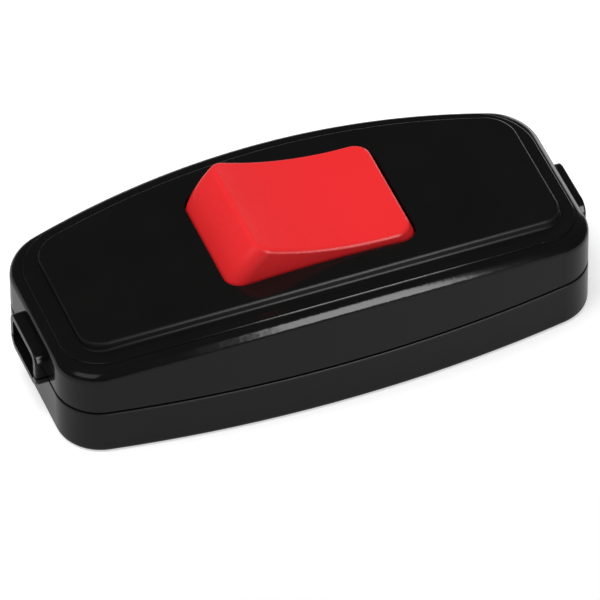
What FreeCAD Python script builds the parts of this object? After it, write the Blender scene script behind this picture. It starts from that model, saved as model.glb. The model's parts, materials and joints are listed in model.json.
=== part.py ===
import FreeCAD, Part
import math
import os

from FreeCAD import Vector

# An inline cord switch with a rocker: two plastic half shells, a see-saw contact under the rocker,
# screw terminals and a cord clamp at each end. Millimetres, +Z up, X along the cord.
# The origin is on the flat underside, in the middle. The rocker rests with its right end pressed.

# Casing
case_length = 80.0             # without the cord collars
case_width_middle = 36.5
case_width_ends = 28.4         # where the bowed sides would meet the end walls
case_corner_radius = 6.7
case_height_middle = 20.45
case_height_ends = 16.15
parting_height = 7.6
parting_gap = 0.36             # dark line between the shells
wall = 2.0
floor_thickness = 2.0
bottom_edge_radius = 0.8
parting_edge_radius = 0.15
opening_edge_radius = 0.15

# Steps of the arched top, from the wall inwards
shoulder_radius = 1.9
ledge_inset = 1.45
ledge_step = 0.3
ledge_corner_radius = 7.3
ledge_edge_radius = 0.2
panel_inset = 3.9
panel_rise = 1.45
panel_edge_radius = 0.42
panel_foot_radius = 0.35
panel_corner_radius = 4.0
top_thickness = 2.0
ledge_thickness = 1.8

# Tongue of the lower shell in the rebate of the upper one
tongue_inset = 1.05
tongue_height = 1.6
tongue_clearance = 0.1

# Cord inlets
inlet_width = 8.3
inlet_height = 4.4
inlet_corner_radius = 0.8
inlet_bottom = 6.5
collar_wall = 1.1
collar_length = 1.65
collar_edge_radius = 0.3
inlet_depth = 3.0              # how far the inlets cut in from the end walls' faces

# Rocker
rocker_width = 19.6
rocker_offset = -0.3           # of its middle from the casing's, away from the neutral strip
rocker_end_radius = 14.85      # its end faces are arcs about the pivot
rocker_crest_half = 11.85      # from the pivot to each crest, along the rocker
rocker_sag = 1.4               # hollow of its top between the crests
rocker_corner_radius = 2.4
rocker_edge_radius = 0.7
rocker_wall = 1.6
rocker_skirt = 0.5             # below the pivot
rocker_tilt = 10.65            # each way from level, in degrees
rocker_gap = 0.3               # all round, in its opening
pivot_depth = 5.55             # below the top of the panel
pivot_pin_diameter = 3.4
pivot_pin_length = 1.6
pivot_pin_chamfer = 0.3
pivot_clearance = 0.05
pivot_lobe_radius = 3.4
pivot_snap_neck = 3.0
sleeve_wall = 1.5
stop_depth = 1.1
stop_width = 1.9

# Plunger and its spring, in the rocker's central tube
plunger_diameter = 3.9
plunger_clearance = 0.06
plunger_reach = 7.2            # from the pivot to the tip
plunger_tip_radius = 1.5
plunger_length = 7.0
plunger_socket_diameter = 2.8
plunger_socket_depth = 4.2
plunger_travel = 1.0
spring_space = 1.2             # beyond the travel, for the coils when they close
tube_wall = 1.2
tube_reach = 5.0               # from the pivot to the tube's mouth
spring_wire = 0.35
spring_outer_diameter = 2.5
spring_coils = 7

# Contacts
strip_thickness = 1.0
lever_thickness = 0.8
lever_width = 5.0
lever_half_length = 10.4
lever_tab_width = 2.0
lever_tilt = 10.0              # each way from level, in degrees
plunger_gap = 0.1              # over the level lever, with the rocker level
ear_thickness = 1.0
ear_gap = 0.3                  # between the lever and each ear
ear_length = 5.0
notch_half_angle = 45.0
notch_clearance = 0.1
ear_rise = 1.2                 # of the ears over the lever's pivot
contact_offset = 9.0           # from the lever's pivot
contact_diameter = 3.4
contact_head = 0.9
contact_shank_diameter = 1.6
contact_edge_radius = 0.3
contact_gap = 0.12             # between the rivets when the lever is pressed home
lever_rest_width = 2.4
lever_rest_length = 0.8
lever_rest_gap = 0.2

# Terminals
pad_length = 7.0
pad_width = 6.4
pad_height = 4.0               # top of a pad above the casing's floor
terminal_margin = 0.6          # between the rocker's sleeve and a terminal pad
strip_bend_radius = 0.8        # inside of the bends
strip_fit = 0.15               # between a strip and its moulded ribs
rib_thickness = 1.0
rib_height = 2.4
neutral_offset = 10.9          # of the neutral strip's centre line, from the casing's
neutral_screw_half = 8.5
neutral_overhang = 3.5
neutral_corner_radius = 0.8
clamp_plate_side = 5.6
clamp_plate_thickness = 0.9
clamp_plate_edge = 0.7         # width of the two turned-down edges
clamp_plate_groove = 0.3       # depth between them

# Screws: head diameter, head height, shank diameter
terminal_screw = (5.0, 1.7, 3.0)
terminal_screw_length = 4.5
cord_screw = (4.6, 1.6, 2.5)
cord_screw_length = 6.0
case_screw = (5.6, 2.0, 2.9)
case_screw_length = 9.6
slot_width = 0.8
slot_depth = 0.8
cross_depth = 1.1
cross_reach = 0.3              # half a cross slot, as a share of the head's diameter
head_chamfer = 0.4             # share of the head's height
screw_tip_chamfer = 0.4
screw_hole_clearance = 0.2
pilot_extra = 0.3              # of a blind hole beyond its screw's tip

# Bosses and cord clamps
case_boss_diameter = 6.4
case_recess_diameter = 6.6
case_recess_depth = 4.5
case_boss_wall = 1.0
case_boss_x = 24.0
boss_to_wall = 0.2
clamp_from_end = 8.5           # clamp centre line to the end of the casing
clamp_bar_width = 5.0
clamp_bar_thickness = 1.4
clamp_bar_arch = 0.9           # rise of the bar's middle
clamp_bar_end_flat = 0.2       # left between the round corners of its ends
clamp_boss_diameter = 5.0
clamp_boss_offset = 7.0
clamp_boss_height = 5.0
saddle_height = 2.6
saddle_ridge = 0.8
saddle_length = 3.6
saddle_to_boss = 0.2

# Worked out from the sizes above
half_length = case_length / 2
side_bow = (case_width_middle - case_width_ends) / 2
side_radius = (half_length ** 2 + side_bow ** 2) / (2 * side_bow)
side_centre = case_width_middle / 2 - side_radius
arch_sag = case_height_middle - case_height_ends
arch_radius = (half_length ** 2 + arch_sag ** 2) / (2 * arch_sag)
arch_centre = case_height_middle - arch_radius
lower_top = parting_height - parting_gap / 2
upper_bottom = parting_height + parting_gap / 2

pivot = Vector(0, rocker_offset, case_height_middle - pivot_depth)
rocker_half_width = rocker_width / 2
scoop_radius = (rocker_crest_half ** 2 + rocker_sag ** 2) / (2 * rocker_sag)
crest_height = math.sqrt(rocker_end_radius ** 2 - rocker_crest_half ** 2)
scoop_centre = crest_height - rocker_sag + scoop_radius
opening_radius = rocker_end_radius + rocker_gap
sleeve_half_length = opening_radius + sleeve_wall
sleeve_inner_half_width = rocker_half_width + rocker_gap
sleeve_half_width = sleeve_inner_half_width + sleeve_wall
pressed_angle = math.asin(rocker_skirt / rocker_end_radius) + math.radians(rocker_tilt)
stop_height = pivot.z - rocker_end_radius * math.sin(pressed_angle) - rocker_gap
sleeve_bottom = stop_height - stop_depth

tube_outer_diameter = plunger_diameter + 2 * (plunger_clearance + tube_wall)
lever_pivot = Vector(0, rocker_offset, pivot.z - plunger_reach - plunger_gap - lever_thickness)
pad_top = floor_thickness + pad_height
terminal_x = sleeve_half_length + terminal_margin + pad_length / 2
ear_half_span = lever_width / 2 + ear_gap + ear_thickness
clamp_x = half_length - clamp_from_end
case_boss_y = side_centre + math.sqrt((side_radius - wall) ** 2 - case_boss_x ** 2)
case_boss_y -= case_boss_diameter / 2 + boss_to_wall
far = 2 * case_length

X_AXIS = Vector(1, 0, 0)
Y_AXIS = Vector(0, 1, 0)
Z_AXIS = Vector(0, 0, 1)


def arc(start, middle, end):
    return Part.Arc(start, middle, end).toShape()


def line(start, end):
    return Part.LineSegment(start, end).toShape()


def polygon(points):
    """A closed wire of straight edges through the points."""
    return Part.makePolygon(list(points) + [points[0]])


def block(x0, x1, y0, y1, z0, z1):
    return Part.makeBox(x1 - x0, y1 - y0, z1 - z0, Vector(x0, y0, z0))


def post(x, y, z0, z1, diameter):
    return Part.makeCylinder(diameter / 2, z1 - z0, Vector(x, y, z0), Z_AXIS)


def round_edges(shape, radius, wanted):
    """Rounds the edges that the test picks."""
    return shape.makeFillet(radius, [edge for edge in shape.Edges if wanted(edge)])


def fused(first, *others):
    return first.fuse(list(others)).removeSplitter()


def one_solid(shape):
    """The shape as a bare solid, so that its file holds no compound."""
    return shape.Solids[0] if len(shape.Solids) == 1 else shape


def barrel_face(inset, corner, z):
    """The casing's outline in plan, moved inwards: straight ends, bowed sides and round corners."""
    end = half_length - inset
    bow = side_radius - inset
    centre_x = end - corner
    centre_y = side_centre + math.sqrt((bow - corner) ** 2 - centre_x ** 2)
    turn = math.atan2(centre_y - side_centre, centre_x)

    def corner_point(angle, sx, sy):
        x = centre_x + corner * math.cos(angle)
        y = centre_y + corner * math.sin(angle)
        return Vector(sx * x, sy * y, z)

    edges = []
    for sx, sy in ((1, 1), (-1, 1), (-1, -1), (1, -1)):
        edges.append(arc(corner_point(0, sx, sy), corner_point(turn / 2, sx, sy), corner_point(turn, sx, sy)))
    for sy in (1, -1):
        middle = Vector(0, sy * (side_centre + bow), z)
        edges.append(arc(corner_point(turn, 1, sy), middle, corner_point(turn, -1, sy)))
    for sx in (1, -1):
        edges.append(line(corner_point(0, sx, 1), corner_point(0, sx, -1)))
    return Part.Face(Part.Wire(Part.__sortEdges__(edges)))


def barrel(inset, z0, z1, corner=None):
    radius = max(case_corner_radius - inset, 1.0) if corner is None else corner
    return barrel_face(inset, radius, z0).extrude(Vector(0, 0, z1 - z0))


def below_arch(drop):
    """Everything under the arched top, lowered by the drop, as wide as the casing."""
    radius = arch_radius - drop
    reach = half_length + 2 * wall
    side = arch_centre + math.sqrt(radius ** 2 - reach ** 2)
    depth = Vector(0, -case_width_middle, 0)
    left, right = Vector(-reach, 0, side) + depth, Vector(reach, 0, side) + depth
    top = Vector(0, 0, arch_centre + radius) + depth
    low_left, low_right = Vector(-reach, 0, -wall) + depth, Vector(reach, 0, -wall) + depth
    edges = [arc(left, top, right), line(right, low_right), line(low_right, low_left), line(low_left, left)]
    return Part.Face(Part.Wire(edges)).extrude(Vector(0, 2 * case_width_middle, 0))


def inset_of(vertex):
    """How far a point lies inside the nearer of the casing's bowed sides and straight ends."""
    from_side = side_radius - math.hypot(vertex.X, abs(vertex.Y) - side_centre)
    return min(from_side, half_length - abs(vertex.X))


def drop_of(vertex):
    """How far a point lies under the arched top."""
    return arch_radius - math.hypot(vertex.X, vertex.Z - arch_centre)


def arched_step(inset, drop, corner, edge_radius):
    """A barrel-shaped block with an arched top and a rounded top edge."""
    step = barrel(inset, upper_bottom, case_height_middle + wall, corner).common(below_arch(drop))
    above = upper_bottom + wall
    return round_edges(step, edge_radius, lambda e: min(v.Z for v in e.Vertexes) > above)


def rounded_slot(width, height, bottom, radius, x0, x1):
    """A bar along X whose section is a rectangle with round corners, centred on Y."""
    bar = block(x0, x1, -width / 2, width / 2, bottom, bottom + height)
    return round_edges(bar, radius, lambda e: abs(e.Length - abs(x1 - x0)) < 1e-6)


def inlet(sign):
    """The cord's way in through one end wall and its collar."""
    outer, inner = half_length + 2 * collar_length, half_length - inlet_depth
    bar = rounded_slot(inlet_width, inlet_height, inlet_bottom, inlet_corner_radius, inner, outer)
    return bar if sign > 0 else bar.mirror(Vector(), X_AXIS)


def collar(sign):
    """The oval collar that stands out of one end wall, still in one piece and closed."""
    outer, inner = half_length + collar_length, half_length - wall / 2
    width, height = inlet_width + 2 * collar_wall, inlet_height + 2 * collar_wall
    corner = inlet_corner_radius + collar_wall
    bar = rounded_slot(width, height, inlet_bottom - collar_wall, corner, inner, outer)
    bar = round_edges(bar, collar_edge_radius, lambda e: min(v.X for v in e.Vertexes) > outer - 1e-6)
    return bar if sign > 0 else bar.mirror(Vector(), X_AXIS)


def slab(z0, z1):
    return block(-far, far, -far, far, z0, z1)


def rocker_face(growth):
    """The rocker's side view about its pivot: arc ends and a scooped top, grown or shrunk all round."""
    radius = rocker_end_radius + growth
    scoop = scoop_radius - growth
    crest_z = (scoop_centre ** 2 + radius ** 2 - scoop ** 2) / (2 * scoop_centre)
    crest_x = math.sqrt(radius ** 2 - crest_z ** 2)
    foot_x = math.sqrt(radius ** 2 - rocker_skirt ** 2)
    foot_angle = -math.asin(rocker_skirt / radius)
    middle_angle = (foot_angle + math.atan2(crest_z, crest_x)) / 2
    middle = Vector(radius * math.cos(middle_angle), 0, radius * math.sin(middle_angle))
    foot, crest = Vector(foot_x, 0, -rocker_skirt), Vector(crest_x, 0, crest_z)

    def left(point):
        return Vector(-point.x, point.y, point.z)

    edges = [arc(foot, middle, crest), arc(crest, Vector(0, 0, scoop_centre - scoop), left(crest)),
             arc(left(crest), left(middle), left(foot)), line(left(foot), foot)]
    return Part.Face(Part.Wire(edges))


def across(face, half_width, middle=0):
    """Carries a side view across the casing, the same distance to both sides of the middle."""
    face.translate(Vector(0, middle - half_width, 0))
    return face.extrude(Vector(0, 2 * half_width, 0))


def make_rocker():
    """Rocker button, level and about its pivot: hollow shell, plunger tube and two snap-in pivot pins."""
    body = across(rocker_face(0), rocker_half_width)
    body = round_edges(body, rocker_corner_radius, lambda e: e.Curve.TypeId == "Part::GeomCircle"
                       and abs(e.Curve.Radius - rocker_end_radius) < 1e-3)
    top = [f for f in body.Faces if f.Surface.TypeId == "Part::GeomCylinder"
           and abs(f.Surface.Radius - scoop_radius) < 1e-3][0]
    body = body.makeFillet(rocker_edge_radius, top.OuterWire.Edges)

    inner_half = rocker_half_width - rocker_wall
    hollow = across(rocker_face(-rocker_wall), inner_half)
    hollow = hollow.fuse(block(-rocker_end_radius + rocker_wall, rocker_end_radius - rocker_wall,
                               -inner_half, inner_half, -2 * rocker_skirt, 0))
    tube_top = scoop_centre - scoop_radius - rocker_wall / 2
    tube = post(0, 0, -tube_reach, tube_top, tube_outer_diameter)
    web_half = (inner_half + rocker_half_width) / 2
    web = block(-rocker_wall / 2, rocker_wall / 2, -web_half, web_half, 0, tube_top)
    body = body.cut(hollow)
    pins = []
    for sign in (1, -1):
        outwards = Y_AXIS * sign
        lobe = Part.makeCylinder(pivot_lobe_radius, rocker_wall, outwards * inner_half, outwards)
        root = rocker_half_width - rocker_wall / 2
        tip = rocker_half_width + pivot_pin_length
        pin = Part.makeCylinder(pivot_pin_diameter / 2, tip - root, outwards * root, outwards)
        end = [e for e in pin.Edges if abs(abs(e.CenterOfMass.y) - tip) < 1e-6]
        pin = pin.makeChamfer(pivot_pin_chamfer, end)
        pins += [lobe, pin]
    body = fused(body, tube, web, *pins)
    bore_diameter = plunger_diameter + 2 * plunger_clearance
    return body.cut(post(0, 0, -tube_reach - 1, plunger_top() + spring_room(), bore_diameter))


def plunger_top():
    return plunger_length - plunger_reach


def spring_room():
    """Free height over the plunger's head that the spring and the plunger's travel take."""
    return plunger_travel + spring_space


def make_plunger():
    """Plunger with a round nose and a socket for the spring, about the rocker's pivot."""
    pin = post(0, 0, -plunger_reach, plunger_top(), plunger_diameter)
    pin = round_edges(pin, plunger_tip_radius, lambda e: abs(e.CenterOfMass.z + plunger_reach) < 1e-6)
    socket = post(0, 0, plunger_top() - plunger_socket_depth, plunger_top() + 1, plunger_socket_diameter)
    return pin.cut(socket)


def make_spring():
    """Coil spring from the bottom of the plunger's socket to the end of the tube's bore."""
    low = plunger_top() - plunger_socket_depth + spring_wire / 2
    high = plunger_top() + spring_room() - spring_wire / 2
    radius = (spring_outer_diameter - spring_wire) / 2
    path = Part.makeHelix((high - low) / spring_coils, high - low, radius)
    start = path.Edges[0].firstVertex().Point
    section = Part.Wire(Part.makeCircle(spring_wire / 2, start, Y_AXIS))
    coil = Part.Wire(path.Edges).makePipeShell([section], True, True)
    coil.translate(Vector(0, 0, low))
    return coil


def to_rest(shape):
    """Moves a piece that was made about a level pivot to its place with the right end pressed."""
    shape = shape.copy()
    shape.rotate(Vector(), Y_AXIS, rocker_tilt)
    shape.translate(pivot)
    return shape


def rocker_opening():
    """The clear space of the rocker: its own outline and a gap, down to the stops."""
    side = Vector(opening_radius, 0, pivot.z)
    low = Vector(opening_radius, 0, stop_height)
    height = case_height_middle + wall - pivot.z
    top_x = math.sqrt(opening_radius ** 2 - height ** 2)
    top = Vector(top_x, 0, pivot.z + height)
    half_angle = math.atan2(height, top_x) / 2
    middle = Vector(opening_radius * math.cos(half_angle), 0, pivot.z + opening_radius * math.sin(half_angle))

    def left(point):
        return Vector(-point.x, point.y, point.z)

    edges = [line(left(low), low), line(low, side), arc(side, middle, top), line(top, left(top)),
             arc(left(top), left(middle), left(side)), line(left(side), left(low))]
    space = across(Part.Face(Part.Wire(edges)), sleeve_inner_half_width, pivot.y)
    outer = opening_radius - 1e-3

    def end_edge(edge):
        ends = edge.Vertexes
        across_x = abs(ends[0].X - ends[1].X) > 2 * rocker_crest_half
        along_y = abs(ends[0].Y - ends[1].Y) > 1e-6
        return not across_x and not along_y and max(abs(v.X) for v in ends) > outer
    space = round_edges(space, rocker_corner_radius + rocker_gap, end_edge)
    inner_x = opening_radius - stop_width
    front, rear = pivot.y - sleeve_inner_half_width, pivot.y + sleeve_inner_half_width
    return space.fuse(block(-inner_x, inner_x, front, rear, sleeve_bottom - 1, pivot.z))


def on_opening_rim(edge):
    """True for the edges of the rocker's opening in the top of the panel."""
    x, y = sleeve_half_length - sleeve_wall / 2, sleeve_half_width - sleeve_wall / 2
    return all(abs(drop_of(v)) < 1e-3 and abs(v.X) < x and abs(v.Y - pivot.y) < y for v in edge.Vertexes)


def case_bosses():
    """The two places of the case screws, in opposite corners."""
    return ((case_boss_x, -case_boss_y), (-case_boss_x, case_boss_y))


def clamp_screws(sign):
    return ((sign * clamp_x, clamp_boss_offset), (sign * clamp_x, -clamp_boss_offset))


def make_upper_shell():
    """Arched top moulding with the rocker's opening and sleeve, screw bosses and collars' upper halves."""
    shoulder_drop = panel_rise + ledge_step
    body = arched_step(0, shoulder_drop, case_corner_radius, shoulder_radius)
    ledge = arched_step(ledge_inset, panel_rise, ledge_corner_radius, ledge_edge_radius)
    panel = arched_step(panel_inset, 0, panel_corner_radius, panel_edge_radius)
    body = fused(body, ledge, panel)
    body = round_edges(body, panel_foot_radius, lambda e: all(
        abs(inset_of(v) - panel_inset) < 1e-3 and abs(drop_of(v) - panel_rise) < 1e-3 for v in e.Vertexes))
    at_parting = lambda e: all(v.Z < upper_bottom + 1e-6 for v in e.Vertexes)
    body = round_edges(body, parting_edge_radius, at_parting)

    low_room = barrel(wall, parting_height - 1, case_height_middle).common(
        below_arch(shoulder_drop + ledge_thickness))
    high_room = barrel(panel_inset + wall, parting_height - 1, case_height_middle).common(
        below_arch(top_thickness))
    shell = body.cut([low_room, high_room])

    sleeve = block(-sleeve_half_length, sleeve_half_length, pivot.y - sleeve_half_width,
                   pivot.y + sleeve_half_width, sleeve_bottom, case_height_middle)
    posts = [post(x, y, parting_height, case_height_middle, case_boss_diameter) for x, y in case_bosses()]
    room = body.fuse(barrel(wall, parting_height, upper_bottom + 1))
    inside = [part.common(room) for part in [sleeve] + posts]
    collars = [collar(sign).common(slab(upper_bottom, far)) for sign in (1, -1)]
    shell = fused(shell, *inside, *collars)

    rebate_top = lower_top + tongue_height + tongue_clearance
    rebate = barrel(tongue_inset - tongue_clearance, upper_bottom - 1, rebate_top)
    rebate = rebate.cut(barrel(wall + tongue_clearance, upper_bottom - 1, rebate_top))
    shell = shell.cut([rebate, rocker_opening(), inlet(1), inlet(-1)])
    shell = round_edges(shell, opening_edge_radius, on_opening_rim)
    for sign in (1, -1):
        start = pivot + Y_AXIS * sign * (sleeve_inner_half_width - 1)
        radius = pivot_pin_diameter / 2 + pivot_clearance
        hole = Part.makeCylinder(radius, sleeve_wall + 2, start, Y_AXIS * sign)
        y0, y1 = sorted((start.y, start.y + sign * (sleeve_wall + 2)))
        neck = block(-pivot_snap_neck / 2, pivot_snap_neck / 2, y0, y1, sleeve_bottom - 1, pivot.z)
        shell = shell.cut([hole, neck])
    pilot_end = case_recess_depth + case_screw_length + pilot_extra
    return shell.cut([post(x, y, parting_height - 1, pilot_end, case_screw[2])
                      for x, y in case_bosses()])


def strip_bay(x0, x1, y0, y1):
    """Low ribs along both sides of a metal strip of the line, whose sides are given from its middle."""
    top = floor_thickness + rib_height
    ribs = []
    for y in (lever_pivot.y + y0 - strip_fit - rib_thickness, lever_pivot.y + y1 + strip_fit):
        ribs.append(block(x0, x1, y, y + rib_thickness, floor_thickness / 2, top))
    return ribs


def pad_seat(x, y, width):
    """Moulded block under a terminal pad, hollow for the screw's end."""
    side = pad_length / 2 - strip_thickness - strip_fit
    top = pad_top - strip_thickness
    seat = block(x - side, x + side, y - width / 2, y + width / 2, floor_thickness / 2, top)
    seat = round_edges(seat, strip_bend_radius, lambda e: abs(e.Length - width) < 1e-6
                       and abs(e.CenterOfMass.z - top) < 1e-6)
    return seat.cut(post(x, y, floor_thickness, pad_top, terminal_screw[2] + 2 * screw_hole_clearance))


def make_lower_shell():
    """Bottom moulding: tongue round the rim, bosses, strip seats, cord saddles and collars' lips."""
    body = barrel(0, 0, lower_top)
    body = round_edges(body, bottom_edge_radius, lambda e: max(v.Z for v in e.Vertexes) < 1e-6)
    body = round_edges(body, parting_edge_radius, lambda e: all(v.Z > lower_top - 1e-6 for v in e.Vertexes))
    tongue = barrel(tongue_inset, lower_top - 1, lower_top + tongue_height)
    body = fused(body, tongue)
    shell = body.cut(barrel(wall, floor_thickness, case_height_middle))

    inside = []
    for x, y in case_bosses():
        inside.append(post(x, y, floor_thickness / 2, case_recess_depth + case_boss_wall,
                           case_recess_diameter + 2 * case_boss_wall))
        inside.append(post(x, y, floor_thickness / 2, parting_height, case_boss_diameter))
    for sign in (1, -1):
        for x, y in clamp_screws(sign):
            inside.append(post(x, y, floor_thickness / 2, floor_thickness + clamp_boss_height,
                               clamp_boss_diameter))
        inside += saddle(sign)
        inside.append(pad_seat(sign * terminal_x, lever_pivot.y, pad_width))
        inside.append(pad_seat(sign * neutral_screw_half, neutral_offset, pad_width))
    inside += strip_bay(-terminal_x, ear_length, -ear_half_span, ear_half_span)
    inside += strip_bay(contact_offset, terminal_x, -pad_width / 2, pad_width / 2)
    inside.append(lever_rest_post())
    room = barrel(wall / 2, floor_thickness / 2, lower_top)
    room = room.fuse(barrel(wall, lower_top - 1, parting_height))
    shell = fused(shell, *[part.common(room) for part in inside])

    collars = [collar(sign).common(slab(-far, lower_top)) for sign in (1, -1)]
    shell = fused(shell, *collars)
    cuts = [inlet(1), inlet(-1)]
    for sign in (1, -1):
        x0, x1 = sorted((sign * (half_length - inlet_depth), sign * half_length))
        half = inlet_width / 2 + collar_wall
        cuts.append(block(x0, x1, -half, half, lower_top, case_height_middle))
        for x, y in clamp_screws(sign):
            cuts.append(post(x, y, floor_thickness, case_height_middle, cord_screw[2]))
    for x, y in case_bosses():
        cuts.append(post(x, y, -1, case_recess_depth, case_recess_diameter))
        cuts.append(post(x, y, 0, case_height_middle, case_screw[2] + 2 * screw_hole_clearance))
    return shell.cut(cuts)


def saddle(sign):
    """Ridged rest for the cord under its clamp."""
    half = clamp_boss_offset - clamp_boss_diameter / 2 - saddle_to_boss
    x0, x1 = sign * clamp_x - saddle_length / 2, sign * clamp_x + saddle_length / 2
    top = floor_thickness + saddle_height
    pieces = [block(x0, x1, -half, half, floor_thickness / 2, top)]
    for x in (x0, x1 - saddle_ridge):
        tooth = polygon([Vector(x, -half, top), Vector(x + saddle_ridge, -half, top),
                         Vector(x + saddle_ridge / 2, -half, top + saddle_ridge)])
        pieces.append(Part.Face(tooth).extrude(Vector(0, 2 * half, 0)))
    return pieces


def lever_rest_post():
    """Stop under the lever's idle arm, through a window in the strip below it."""
    tilt = math.radians(lever_tilt)
    top = lever_pivot.z - contact_offset * math.tan(tilt) - lever_rest_gap / math.cos(tilt)
    front, rear = lever_pivot.y - lever_rest_width / 2, lever_pivot.y + lever_rest_width / 2
    return block(-contact_offset, lever_rest_length - contact_offset, front, rear, floor_thickness / 2, top)


def make_lever():
    """See-saw contact lever, level and about its own pivot on its underside."""
    body = block(-lever_half_length, lever_half_length, -lever_width / 2, lever_width / 2, 0, lever_thickness)
    body = round_edges(body, lever_width / 4, lambda e: abs(e.Length - lever_thickness) < 1e-6)
    half_tab = lever_tab_width / 2
    tabs = block(-half_tab, half_tab, -ear_half_span, ear_half_span, 0, lever_thickness)
    body = fused(body, tabs)
    return body.cut(post(contact_offset, 0, -1, lever_thickness + 1, contact_shank_diameter))


def rivet(head, up):
    """Contact rivet: a slightly domed head under z = 0 and a shank above it, or the other way up."""
    disc = post(0, 0, -head, 0, contact_diameter)
    disc = round_edges(disc, contact_edge_radius, lambda e: abs(e.CenterOfMass.z + head) < 1e-6)
    shank = post(0, 0, 0, lever_thickness if not up else strip_thickness, contact_shank_diameter)
    shape = fused(disc, shank)
    if up:
        shape.rotate(Vector(), X_AXIS, 180)
    return shape


def lever_to_rest(shape):
    shape = shape.copy()
    shape.rotate(Vector(), Y_AXIS, -lever_tilt)
    shape.translate(lever_pivot)
    return shape


def stepped_strip(start_x, width, sign):
    """Metal strip on the casing's floor that steps up to a terminal pad at its outer end, about y = 0."""
    low, high = floor_thickness, pad_top
    inner = terminal_x - pad_length / 2
    outer = terminal_x + pad_length / 2
    t = strip_thickness
    points = [(start_x, low), (inner + t, low), (inner + t, high - t), (outer, high - t), (outer, high),
              (inner, high), (inner, low + t), (start_x, low + t)]
    profile = polygon([Vector(sign * x, -width / 2, z) for x, z in points])
    strip = Part.Face(profile).extrude(Vector(0, width, 0))

    def at(edge, x, z):
        c = edge.CenterOfMass
        return abs(edge.Length - width) < 1e-6 and abs(c.x - sign * x) < 1e-6 and abs(c.z - z) < 1e-6
    inside = ((inner, low + t), (inner + t, high - t))
    strip = round_edges(strip, strip_bend_radius, lambda e: any(at(e, x, z) for x, z in inside))
    outside = ((inner + t, low), (inner, high))
    strip = round_edges(strip, strip_bend_radius + t, lambda e: any(at(e, x, z) for x, z in outside))
    return strip.cut(post(sign * terminal_x, 0, 0, case_height_middle, terminal_screw[2]))


def make_pivot_terminal():
    """Strip with two notched ears that carry the lever, and the incoming line's pad."""
    strip = stepped_strip(-ear_length / 2, 2 * ear_half_span, -1)
    side_cuts = []
    for sign in (1, -1):
        y0, y1 = sorted((sign * pad_width / 2, sign * (ear_half_span + 1)))
        side_cuts.append(block(-far, -ear_length, y0, y1, 0, case_height_middle))
    half = lever_rest_width / 2 + strip_fit
    window = block(-contact_offset - strip_fit, lever_rest_length - contact_offset + strip_fit, -half, half,
                   0, case_height_middle)
    strip = strip.cut(side_cuts + [window])
    ears = []
    top = lever_pivot.z + ear_rise
    for sign in (1, -1):
        y0, y1 = sorted((sign * (ear_half_span - ear_thickness), sign * ear_half_span))
        ears.append(block(-ear_length / 2, ear_length / 2, y0, y1, floor_thickness, top))
    floor = block(-ear_length / 2, ear_length / 2, -ear_half_span, ear_half_span, floor_thickness,
                  floor_thickness + strip_thickness)
    strip = fused(strip, floor, *ears)
    tab = lever_tab_width / 2 + notch_clearance
    rise = case_height_middle
    spread = tab + rise * math.tan(math.radians(notch_half_angle))
    low = lever_pivot.z - lever_tab_width / 2 * math.sin(math.radians(lever_tilt)) - notch_clearance
    notch = polygon([Vector(-tab, -far, low), Vector(tab, -far, low), Vector(spread, -far, low + rise),
                     Vector(-spread, -far, low + rise)])
    return placed(strip.cut(Part.Face(notch).extrude(Vector(0, 2 * far, 0))), 0, lever_pivot.y, 0)


def make_fixed_terminal():
    """Strip with the fixed contact's hole and the outgoing line's pad."""
    strip = stepped_strip(contact_offset - contact_diameter, pad_width, 1)
    strip = strip.cut(post(fixed_contact_x(), 0, 0, case_height_middle, contact_shank_diameter))
    return placed(strip, 0, lever_pivot.y, 0)


def fixed_contact_x():
    """Where the lever's rivet comes down when that arm is pressed."""
    tilt = math.radians(lever_tilt)
    return contact_offset * math.cos(tilt) - contact_head * math.sin(tilt)


def make_neutral_connector():
    """Flat strip that joins the neutral conductor straight through."""
    reach = neutral_screw_half + neutral_overhang
    y0, y1 = neutral_offset - pad_width / 2, neutral_offset + pad_width / 2
    strip = block(-reach, reach, y0, y1, pad_top - strip_thickness, pad_top)
    strip = round_edges(strip, neutral_corner_radius, lambda e: abs(e.Length - strip_thickness) < 1e-6)
    holes = [post(sign * neutral_screw_half, neutral_offset, 0, case_height_middle, terminal_screw[2])
             for sign in (1, -1)]
    return strip.cut(holes)


def make_wire_clamp(x, y):
    """Square plate that presses the bare wire on its pad, with two turned-down edges."""
    half = clamp_plate_side / 2
    inner = half - clamp_plate_edge
    top = pad_top + clamp_plate_thickness
    plate = block(x - half, x + half, y - half, y + half, pad_top, top)
    groove_top = pad_top + clamp_plate_groove
    plate = plate.cut(block(x - inner, x + inner, y - half, y + half, pad_top - 1, groove_top))
    plate = round_edges(plate, clamp_plate_groove, lambda e: min(v.Z for v in e.Vertexes) > top - 1e-6)
    return plate.cut(post(x, y, 0, case_height_middle, terminal_screw[2] + 2 * screw_hole_clearance))


def make_screw(sizes, length, crossed):
    """A pan-head screw with its head on z = 0 upwards and its shank downwards."""
    head_diameter, head_height, shank_diameter = sizes
    head = post(0, 0, 0, head_height, head_diameter)
    rim = [e for e in head.Edges if abs(e.CenterOfMass.z - head_height) < 1e-6]
    head = head.makeChamfer(head_height * head_chamfer, rim)
    shank = post(0, 0, -length, 0, shank_diameter)
    tip = [e for e in shank.Edges if abs(e.CenterOfMass.z + length) < 1e-6]
    shape = fused(head, shank.makeChamfer(screw_tip_chamfer, tip))
    reach = head_diameter * cross_reach if crossed else head_diameter
    low = head_height - (cross_depth if crossed else slot_depth)
    slots = [block(-reach, reach, -slot_width / 2, slot_width / 2, low, head_height + 1)]
    if crossed:
        slots.append(block(-slot_width / 2, slot_width / 2, -reach, reach, low, head_height + 1))
    return shape.cut(slots)


def placed(shape, x, y, z, upside_down=False):
    shape = shape.copy()
    if upside_down:
        shape.rotate(Vector(), X_AXIS, 180)
    shape.translate(Vector(x, y, z))
    return shape


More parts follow.
